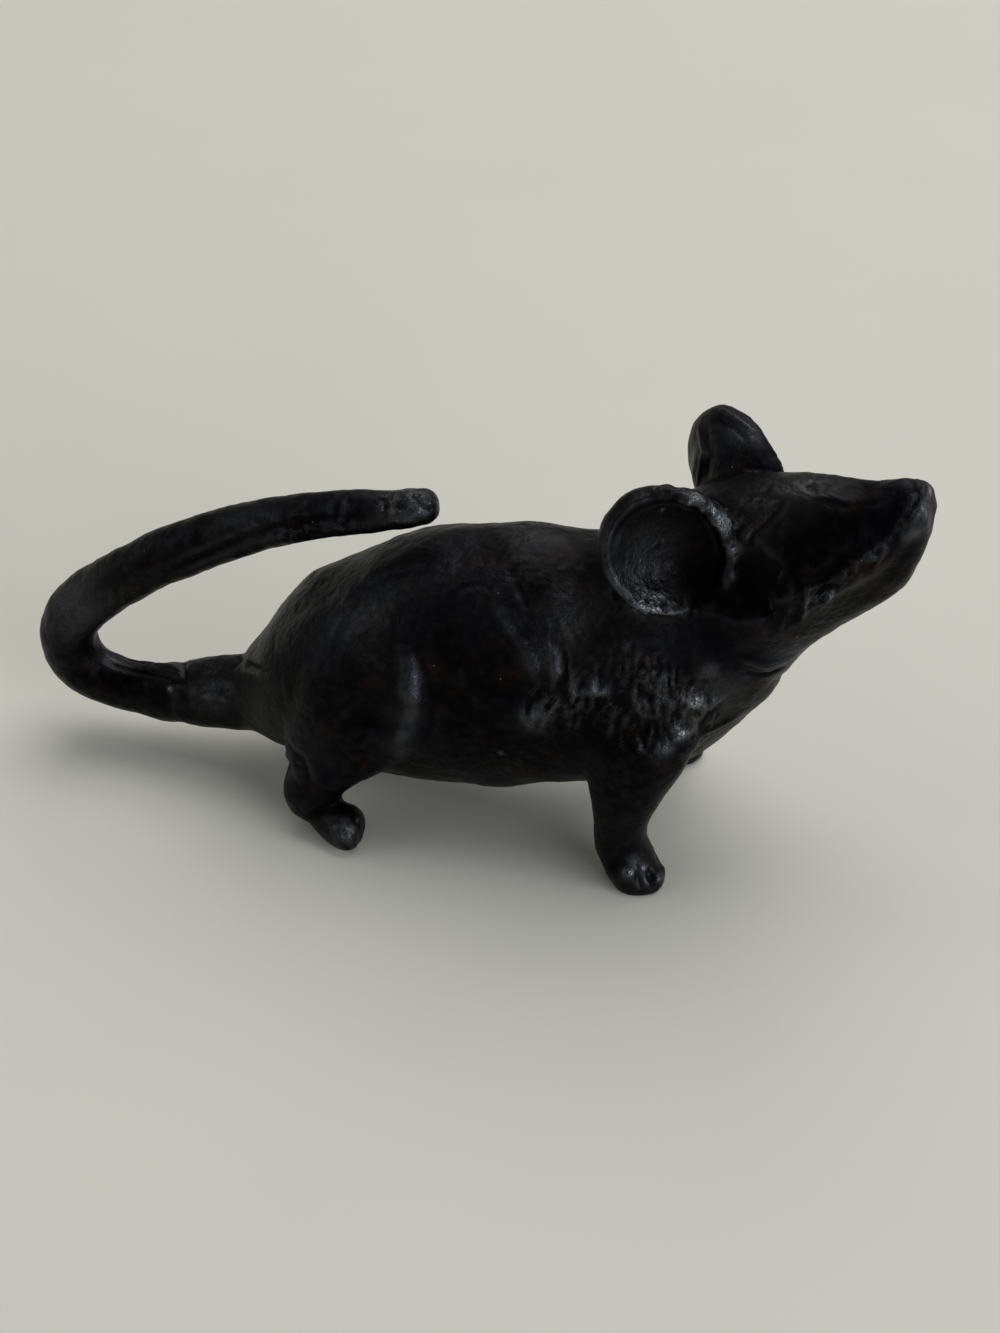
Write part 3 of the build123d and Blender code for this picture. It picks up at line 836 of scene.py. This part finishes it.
def fillet_share(points):
    """How much of a fillet each place gets: next to none in the ears, and little between the toes."""
    foot_height, rise, foot_share, ear_share = 6, 4, 0.1, 0.05
    share = np.clip((points[:, 2] - foot_height) / rise, foot_share, 1)
    for side in EARS:
        along, up, depth = ear_place(points, side)
        share[(np.hypot(along, up) < 1.12) & (depth > -3.6) & (depth < 4)] = ear_share
    return share


# Lumps on the ears' rims: side, the stretch's ends as turns, shares of the rim's size and of the ear's depth,
# the lumps' spacing and radius in millimetres, and how uneven they are
RIM_LUMPS = [
    ("right", 0.03, 0.38, 0.97, 0.24, 0.9, 1.35, 0.2),
    ("right", 0.10, 0.36, 1.03, 0.42, 1.0, 0.75, 0.3),
    ("right", 0.04, 0.34, 0.91, 0.42, 1.5, 0.95, 0.35),
    ("right", 0.74, 0.93, 0.90, 0.18, 1.5, 0.8, 0.35),
    ("right", 0.38, 0.60, 0.925, 0.2, 0.6, 0.62, 0.15),
    ("left", 0.07, 0.96, 0.92, 0.2, 0.7, 0.6, 0.2),
]


def rim_path(side, start, end, size, depth):
    """Points along a stretch of an ear's rim."""
    ring = ear_ring(side, depth, size, count=RING_STEPS)
    last = 79
    return [ring[round((start + (end - start) * i / last) * RING_STEPS) % RING_STEPS] for i in range(last + 1)]


def bead_tree(material):
    """Geometry nodes that lay uneven lumps along a curve."""
    tree = bpy.data.node_groups.new("rim_beads", "GeometryNodeTree")
    face = tree.interface
    face.new_socket("Geometry", in_out="INPUT", socket_type="NodeSocketGeometry")
    names = {}
    for name, value in (("Spacing", 1.6), ("Lump size", 1.15), ("Unevenness", 0.3)):
        item = face.new_socket(name, in_out="INPUT", socket_type="NodeSocketFloat")
        item.default_value = value
        names[name] = item.identifier
    face.new_socket("Geometry", in_out="OUTPUT", socket_type="NodeSocketGeometry")
    nodes, links = tree.nodes, tree.links

    def add(kind, **values):
        node = nodes.new(kind)
        for key, value in values.items():
            setattr(node, key, value)
        return node

    given, out = add("NodeGroupInput"), add("NodeGroupOutput")
    to_curve, points = add("GeometryNodeMeshToCurve"), add("GeometryNodeCurveToPoints", mode="LENGTH")
    place, real = add("GeometryNodeInstanceOnPoints"), add("GeometryNodeRealizeInstances")
    lump, paint = add("GeometryNodeMeshIcoSphere"), add("GeometryNodeSetMaterial")
    random, low, high = add("FunctionNodeRandomValue"), add("ShaderNodeMath"), add("ShaderNodeMath")
    low.operation, high.operation = "SUBTRACT", "ADD"
    lump.inputs["Subdivisions"].default_value = 2
    random.inputs["Seed"].default_value = 5
    for node in (low, high):
        node.inputs[0].default_value = 1
        links.new(given.outputs["Unevenness"], node.inputs[1])
    links.new(low.outputs[0], random.inputs[2])
    links.new(high.outputs[0], random.inputs[3])
    links.new(given.outputs["Geometry"], to_curve.inputs["Mesh"])
    links.new(to_curve.outputs["Curve"], points.inputs["Curve"])
    links.new(given.outputs["Spacing"], points.inputs["Length"])
    links.new(points.outputs["Points"], place.inputs["Points"])
    links.new(given.outputs["Lump size"], lump.inputs["Radius"])
    links.new(lump.outputs["Mesh"], place.inputs["Instance"])
    links.new(random.outputs[1], place.inputs["Scale"])
    links.new(place.outputs["Instances"], real.inputs["Geometry"])
    links.new(real.outputs["Geometry"], paint.inputs["Geometry"])
    paint.inputs["Material"].default_value = material
    links.new(paint.outputs["Geometry"], out.inputs["Geometry"])
    return tree, names


def lumps_along(path, spacing, size, unevenness, material):
    """A mesh of lumps along a path, in millimetres."""
    mesh = bpy.data.meshes.new("rim_path")
    mesh.from_pydata([tuple(p) for p in path], [(i, i + 1) for i in range(len(path) - 1)], [])
    obj = new_object("rim_path", mesh)
    tree, names = bead_tree(material)
    modifier = obj.modifiers.new("beads", "NODES")
    modifier.node_group = tree
    for name, value in (("Spacing", spacing), ("Lump size", size), ("Unevenness", unevenness)):
        modifier[names[name]] = value
    out = evaluated_mesh(obj)
    obj.modifiers.remove(modifier)
    remove_object(obj)
    bpy.data.node_groups.remove(tree)
    return out


# Shaders

class Value:
    """A shader socket that works in Python expressions."""

    def __init__(self, tree, socket):
        self.tree, self.socket = tree, socket

    def math(self, operation, *others):
        """A Math node on this value."""
        return add_node(self.tree, "ShaderNodeMath", {"operation": operation}, dict(enumerate((self, *others))))

    def __add__(self, other):
        return self.math("ADD", other)

    def __radd__(self, other):
        return self.math("ADD", other)

    def __sub__(self, other):
        return self.math("SUBTRACT", other)

    def __rsub__(self, other):
        return add_node(self.tree, "ShaderNodeMath", {"operation": "SUBTRACT"}, {0: other, 1: self})

    def __mul__(self, other):
        return self.math("MULTIPLY", other)

    def __rmul__(self, other):
        return self.math("MULTIPLY", other)

    def steps(self, low, high):
        """Rises smoothly from 0 to 1 between two values."""
        return add_node(
            self.tree, "ShaderNodeMapRange", {"interpolation_type": "SMOOTHSTEP"}, {0: self, 1: low, 2: high}
        )


def add_node(tree, kind, settings=(), sockets=(), out=0):
    """Adds a node, its settings first, then its sockets' values or links."""
    node = tree.nodes.new(kind)
    for name, value in dict(settings).items():
        setattr(node, name, value)
    for key, value in dict(sockets).items():
        if isinstance(value, Value):
            tree.links.new(value.socket, node.inputs[key])
        else:
            node.inputs[key].default_value = value
    return Value(tree, node.outputs[out])


class Finish:
    """A material under construction, with the textures that paint and metal need."""

    def __init__(self, name):
        self.material = bpy.data.materials.new(name)
        self.material.use_nodes = True
        self.tree = self.material.node_tree
        self.tree.nodes.clear()
        self.place = self.node("ShaderNodeTexCoord", out="Object")

    def node(self, kind, settings=(), sockets=(), out=0):
        """Adds one node to the material."""
        return add_node(self.tree, kind, settings, sockets, out)

    def noise(self, size, detail=3.0, stretch=1.0):
        """Noise with lumps of a size in millimetres, longer upwards by a factor."""
        place = self.place
        if stretch != 1:
            place = self.node("ShaderNodeMapping", {}, {"Vector": place, "Scale": (1, 1, 1 / stretch)})
        return self.node("ShaderNodeTexNoise", {}, {"Vector": place, "Scale": 1 / (size * MM), "Detail": detail})

    def attribute(self, name):
        """A value that the piece's points carry."""
        return self.node("ShaderNodeAttribute", {"attribute_name": name}, out="Fac")

    def mix(self, mask, a, b):
        """Two colours mixed by a mask."""
        return self.node("ShaderNodeMix", {"data_type": "RGBA"}, {0: mask, 6: a, 7: b}, out=2)

    def close(self, sockets):
        """Ends the material in a Principled shader."""
        shader = self.node("ShaderNodeBsdfPrincipled", {}, sockets)
        end = self.tree.nodes.new("ShaderNodeOutputMaterial")
        self.tree.links.new(shader.socket, end.inputs["Surface"])
        return self.material


# Share of polish from which painted glints show on the paint, and the mean distance of the dust specks in millimetres
PAINTED_GLINT_FROM = 0.8
DUST_SPACING = 2.6


def paint_material(colours):
    """Black paint on a casting: brown where thin, blue where thick, polished by hands and specked with dust, with a
    painted sheen, painted glints and a painted highlight and reflection on the polished and rubbed places.
    """
    f = Finish("cast_black_paint")
    broad, middle, fine, tiny = f.noise(14), f.noise(4.5), f.noise(1.1, 4), f.noise(0.35, 2)
    drawn = f.noise(0.7, 4, stretch=2.2)
    edge, tone, rough, polish_and_highlight = (f.attribute(name) for name in ("edge", "tone", "rough", "polish_and_highlight"))
    colour = f.mix(broad.steps(0.42, 0.62), tuple(colours.black), tuple(colours.blue))
    colour = f.mix(middle.steps(0.5, 0.7) * 0.6, colour, tuple(colours.brown))
    # Lighter rubbed colour on the tone spots, which is also a painted highlight and painted reflection
    colour = f.mix(tone * (0.6 + 0.8 * fine), colour, tuple(colours.worn_and_painted_light))
    # Painted sheen: a painted highlight and painted reflection where the paint is polished, and a little on edges
    painted_sheen = polish_and_highlight * (0.5 + 0.3 * fine + 0.4 * tiny.steps(0.4, 0.62)) + 0.22 * edge
    colour = f.mix(painted_sheen, colour, tuple(colours.painted_sheen))
    # Painted glints on the tops of the most polished lumps
    painted_glint = (polish_and_highlight - PAINTED_GLINT_FROM) * 1.3 * tiny.steps(0.5, 0.62)
    colour = f.mix(painted_glint, colour, tuple(colours.painted_glint))
    speck = f.node("ShaderNodeTexVoronoi", {}, {"Vector": f.place, "Scale": 1 / (DUST_SPACING * MM)})
    dust = (1 - speck.steps(0.03, 0.055)) * middle.steps(0.55, 0.62)
    colour = f.mix(dust * 0.4, colour, tuple(colours.dust))
    roughness = 0.36 + 0.14 * fine + 0.10 * broad - 0.22 * polish_and_highlight
    height = fine * 0.8 + tiny * (0.2 + 0.3 * rough + 0.5 * polish_and_highlight) + middle * 0.6 + drawn * rough * 3.6
    bump = f.node("ShaderNodeBump", {}, {"Strength": 1.0, "Distance": 0.2 * MM, "Height": height})
    return f.close({"Base Color": colour, "Roughness": roughness, "Metallic": 1.0, "Normal": bump})


def steel_material(colours):
    """Plated steel of the pins, with fine turning marks."""
    f = Finish("plated_steel")
    fine, broad = f.noise(0.3, 2), f.noise(3)
    colour = f.mix(broad.steps(0.3, 0.8) * 0.5, tuple(colours.steel), (0.25, 0.24, 0.23, 1))
    bump = f.node("ShaderNodeBump", {}, {"Strength": 0.3, "Distance": 0.03 * MM, "Height": fine})
    return f.close({"Base Color": colour, "Metallic": 1.0, "Roughness": 0.28 + 0.2 * fine, "Normal": bump})


def screw_material(colours):
    """The screw that was painted over with the body, and is bare in spots."""
    f = Finish("painted_screw")
    fine, broad = f.noise(0.5, 3), f.noise(2)
    bare = (fine * 0.5 + broad * 0.6).steps(0.68, 0.76)
    colour = f.mix(bare, tuple(colours.black), tuple(colours.steel))
    bump = f.node("ShaderNodeBump", {}, {"Strength": 0.4, "Distance": 0.05 * MM, "Height": fine})
    return f.close({"Base Color": colour, "Metallic": bare, "Roughness": 0.5 - 0.15 * bare, "Normal": bump})


# Cutting

# The tail's joint in the sleeve and the line between the tail and the back, in X and Z, in millimetres
TAIL_LINE = [
    (-47.4, -5), (-52.1, 22), (-45, 30), (-36, 38), (-27, 43), (-16, 48.3), (-8.5, 51.4), (-1, 53.5), (2, 54.5)
]
# Sections of the block round an ear's cup: shares of the ear's depth and of the rim's size
EAR_SECTIONS = [(-1.12, 0.30), (-0.96, 0.5), (-0.75, 0.8), (-0.4, 1.03), (0, 1.12), (0.45, 1.16)]
# Sections of the space in an ear's dish: shares of depth and of size, and the shift forward
MOUTH_SECTIONS = [
    (-0.56, 0.24, 0.17), (-0.48, 0.46, 0.13), (-0.30, 0.66, 0.07), (-0.04, 0.79, 0.02),
    (0.34, 0.87, 0.0), (0.6, 0.97, 0.06), (1.0, 1.10, 0.16), (1.5, 1.20, 0.24),
]
# Half width of the blocks that cut right across the mouse, in millimetres
ACROSS = 60
# The screw's countersink, in millimetres: its axis in X and Z, its top in Y, its depth and its radii
RECESS_AXIS = (-4.0, 26.7)
RECESS_TOP = 18.0
RECESS_DEPTH = 2.3
RECESS_RADII = (2.1, 4.1)


def tail_block():
    """The block that holds the tail, up to its joint in the sleeve."""
    return prism([(-95, -5), *TAIL_LINE, (2, 80), (-95, 80)], ACROSS)


def head_block():
    """The block in front of the neck joint's plane."""
    reach = 50
    down = np.array((sin(NECK_PITCH), 0, -cos(NECK_PITCH)))
    low, high = NECK_CENTER + down * reach, NECK_CENTER - down * reach
    return prism([(low[0], low[2]), (high[0], high[2]), (110, 100), (110, 0)], ACROSS)


def ear_block(side):
    """The block round an ear's cup."""
    return ring_solid([ear_ring(side, depth, size) for depth, size in EAR_SECTIONS])


def ear_mouth(side):
    """The space in an ear's dish, which flares out in front of it where the cheek would cover the rim."""
    return ring_solid([ear_ring(side, depth, size, shift) for depth, size, shift in MOUTH_SECTIONS])


def right_block():
    """The block on the mouse's right of its middle plane."""
    return ring_solid([[(x, y, z) for x, z in ((-120, -20), (120, -20), (120, 120), (-120, 120))] for y in (-80, 0)])


def screw_recess():
    """The countersunk hole for the screw's head, and the space over it."""
    (x, z), (small, large), count = RECESS_AXIS, RECESS_RADII, 48
    turns = [2 * pi * i / count for i in range(count)]
    sections = ((RECESS_TOP - RECESS_DEPTH, small), (RECESS_TOP, large), (RECESS_TOP + 3, large))
    return ring_solid([[(x + r * cos(a), y, z + r * sin(a)) for a in turns] for y, r in sections])


# Faces that meet at more than this angle keep a sharp edge
SHARP_ANGLE = radians(70)

# What the first operator hands to the others: the skin, its paint, and its points with their values
STATE = {}


def place_piece(name, mesh, node):
    """Makes a cut mesh into the finished piece for its node."""
    lookup = STATE["lookup"]
    count = len(mesh.vertices)
    points = np.empty(count * 3)
    mesh.vertices.foreach_get("co", points)
    nearest = [lookup.find(p)[1] for p in points.reshape(-1, 3)]
    for key, values in STATE["values"].items():
        layer = mesh.attributes.new(key, "FLOAT", "POINT")
        layer.data.foreach_set("value", values[nearest].astype(np.float32))
    mesh.vertices.foreach_set("co", points * MM)
    mesh.shade_smooth()
    mesh.set_sharp_from_angle(angle=SHARP_ANGLE)
    mesh.materials.clear()
    mesh.materials.append(STATE["paint"])
    mesh.name = name
    obj = new_object(name, mesh)
    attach(obj, "root")
    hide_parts(node)


class MOUSE_OT_skin(bpy.types.Operator):
    """Fuse the castings into one skin and model it"""

    bl_idname = "mouse.skin"
    bl_label = "Skin"

    def execute(self, context):
        casting = context.scene.mouse_casting
        paint = STATE["paint"] = paint_material(context.scene.mouse_paint)
        whole = joined([merged_copy(name) for name in CASTINGS])
        bm = bmesh.new()
        bm.from_mesh(whole)
        tree = BVHTree.FromBMesh(bm)
        bm.free()
        lumps = [
            lumps_along(rim_path(*stretch), spacing, size, unevenness, paint)
            for *stretch, spacing, size, unevenness in RIM_LUMPS
        ]
        grain = casting.grain / MM * 1
        fused = voxel_skin(joined([whole, *(merged_copy(name) for name in HARDWARE)]), grain)
        for side in EARS:
            fused = cut(fused, ear_mouth(side), False)
        mesh = voxel_skin(joined([fused, *lumps]), grain)
        skin = Skin(mesh)
        bpy.data.meshes.remove(mesh)
        skin.relax(2)
        skin.fill_creases(casting.fillet_rounds, fillet_share(skin.points))
        shape_dishes(skin)
        skin.relax(THUMB_ROUNDS, thumbed_share(skin, tree)[:, None])
        skin.smooth(3)
        depth = casting.mark_depth
        model_swellings(skin, tree, depth)
        skin.smooth(2)
        lay_marks(skin, tree, MARKS, depth, MARK_LIMIT)
        lay_marks(skin, tree, stroke_marks(STROKE_SEED), depth, STROKE_LIMIT)
        model_roughness(skin, tree, casting.unevenness / MM, depth)
        skin.points[:, 2] = np.maximum(skin.points[:, 2], 0)
        STATE["values"] = wear_and_painted_light_values(skin)
        STATE["lookup"] = point_lookup(skin.points)
        STATE["skin"] = skin.mesh("skin")
        print("skin", len(skin.points), "points")
        return {"FINISHED"}


class MOUSE_OT_body(bpy.types.Operator):
    """Cut both halves of the body out of the skin"""

    bl_idname = "mouse.body"
    bl_label = "Body"

    def execute(self, context):
        body = cut(STATE["skin"], tail_block(), False)
        body = cut(body, head_block(), False)
        for side in EARS:
            body = cut(body, ear_block(side), False)
        place_piece("body_right", cut(body, right_block(), True), "body_right_half")
        left = cut(body, right_block(), False)
        place_piece("body_left", cut(left, screw_recess(), False), "body_left_half")
        return {"FINISHED"}


class MOUSE_OT_head(bpy.types.Operator):
    """Cut the head out of the skin"""

    bl_idname = "mouse.head"
    bl_label = "Head"

    def execute(self, context):
        head = cut(STATE["skin"], head_block(), True)
        for side in EARS:
            head = cut(head, ear_block(side), False)
        place_piece("head_casting", head, "head")
        return {"FINISHED"}


class MOUSE_OT_ears(bpy.types.Operator):
    """Cut both ears out of the skin"""

    bl_idname = "mouse.ears"
    bl_label = "Ears"

    def execute(self, context):
        for side in EARS:
            place_piece("ear_casting_" + side, cut(STATE["skin"], ear_block(side), True), "ear_" + side)
        return {"FINISHED"}


class MOUSE_OT_tail(bpy.types.Operator):
    """Cut the tail out of the skin"""

    bl_idname = "mouse.tail"
    bl_label = "Tail"

    def execute(self, context):
        place_piece("tail_casting", cut(STATE["skin"], tail_block(), True), "tail")
        return {"FINISHED"}


class MOUSE_OT_hardware(bpy.types.Operator):
    """Finish the screw and the pins"""

    bl_idname = "mouse.hardware"
    bl_label = "Hardware"

    def execute(self, context):
        paint = context.scene.mouse_paint
        steel, screw = steel_material(paint), screw_material(paint)
        for name in HARDWARE:
            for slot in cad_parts[name].material_slots:
                slot.material = screw if name == "body_screw" else steel
        return {"FINISHED"}


class MOUSE_OT_stage(bpy.types.Operator):
    """Set up the floor, the lamps and the camera"""

    bl_idname = "mouse.stage"
    bl_label = "Stage"

    def execute(self, context):
        stage = context.scene.mouse_stage
        scene = context.scene
        right, up, back = (Vector(v) for v in camera_axes())
        target = Vector(stage.target)

        # Camera
        camera = bpy.data.cameras.new("camera")
        camera.sensor_width = 36
        camera.sensor_fit = "AUTO"
        camera.lens = camera.sensor_width * stage.distance / (VIEW_HEIGHT * stage.pixel)
        camera.clip_start, camera.clip_end = 0.01, 20
        holder = new_object("camera", camera)
        holder.location = target + back * stage.distance
        holder.rotation_euler = back.to_track_quat("Z", "Y").to_euler()
        scene.camera = holder

        # Floor
        f = Finish("studio_floor")
        colour = f.mix(f.noise(60, 3).steps(0.3, 0.7) * 0.5, tuple(stage.floor), tuple(c * 0.97 for c in stage.floor))
        material = f.close({"Base Color": colour, "Roughness": 0.9, "Specular IOR Level": 0.1})
        mesh = bpy.data.meshes.new("studio_floor")
        half = 3.0
        mesh.from_pydata([(-half, -half, 0), (half, -half, 0), (half, half, 0), (-half, half, 0)], [], [(0, 1, 2, 3)])
        mesh.materials.append(material)
        new_object("studio_floor", mesh)

        # Lamps
        def lamp(name, power, width, height, azimuth, elevation, distance, colour):
            """A soft lamp in a direction in degrees, turned to the mouse."""
            light = bpy.data.lights.new(name, "AREA")
            light.shape = "RECTANGLE"
            light.energy, light.size, light.size_y, light.color = power, width, height, colour
            obj = new_object(name, light)
            a, e = radians(azimuth), radians(elevation)
            out = Vector((sin(a) * cos(e), -cos(a) * cos(e), sin(e)))
            obj.location = Vector((0, 0, 30 * MM)) + out * distance
            obj.rotation_euler = out.to_track_quat("Z", "Y").to_euler()

        lamp("sky", stage.sky, 1.6, 1.6, 165, 62, 1.4, (1.0, 0.985, 0.96))
        lamp("window", stage.window, 1.2, 0.5, 62, 17, 1.25, (0.93, 0.965, 1.0))
        lamp("side", stage.side, 0.9, 0.6, 285, 24, 1.1, (0.97, 1.0, 0.94))

        world = bpy.data.worlds.new("studio")
        world.use_nodes = True
        background = world.node_tree.nodes["Background"]
        background.inputs["Color"].default_value = (0.95, 0.97, 1.0, 1)
        background.inputs["Strength"].default_value = stage.ambient
        scene.world = world
        scene.view_settings.view_transform = "Standard"
        return {"FINISHED"}


class MOUSE_PT_panel(bpy.types.Panel):
    """Lists the mouse's pieces and its stage"""

    bl_label = "Cast mouse"
    bl_idname = "MOUSE_PT_panel"
    bl_space_type = "VIEW_3D"
    bl_region_type = "UI"
    bl_category = "Mouse"

    def draw(self, context):
        column = self.layout.column()
        for operator in OPERATORS:
            column.operator(operator.bl_idname)
        for group in (context.scene.mouse_casting, context.scene.mouse_paint, context.scene.mouse_stage):
            for name in group.__annotations__:
                column.prop(group, name)


OPERATORS = (
    MOUSE_OT_skin, MOUSE_OT_body, MOUSE_OT_head, MOUSE_OT_ears, MOUSE_OT_tail, MOUSE_OT_hardware, MOUSE_OT_stage
)
CLASSES = (MouseCasting, MousePaint, MouseStage, *OPERATORS, MOUSE_PT_panel)


def register():
    for cls in CLASSES:
        bpy.utils.register_class(cls)
    bpy.types.Scene.mouse_casting = bpy.props.PointerProperty(type=MouseCasting)
    bpy.types.Scene.mouse_paint = bpy.props.PointerProperty(type=MousePaint)
    bpy.types.Scene.mouse_stage = bpy.props.PointerProperty(type=MouseStage)


def unregister():
    for name in ("mouse_casting", "mouse_paint", "mouse_stage"):
        delattr(bpy.types.Scene, name)
    for cls in reversed(CLASSES):
        bpy.utils.unregister_class(cls)


def main():
    register()
    bpy.ops.mouse.skin()
    bpy.ops.mouse.body()
    bpy.ops.mouse.head()
    bpy.ops.mouse.ears()
    bpy.ops.mouse.tail()
    bpy.ops.mouse.hardware()
    bpy.ops.mouse.stage()


if __name__ == "__main__":
    main()
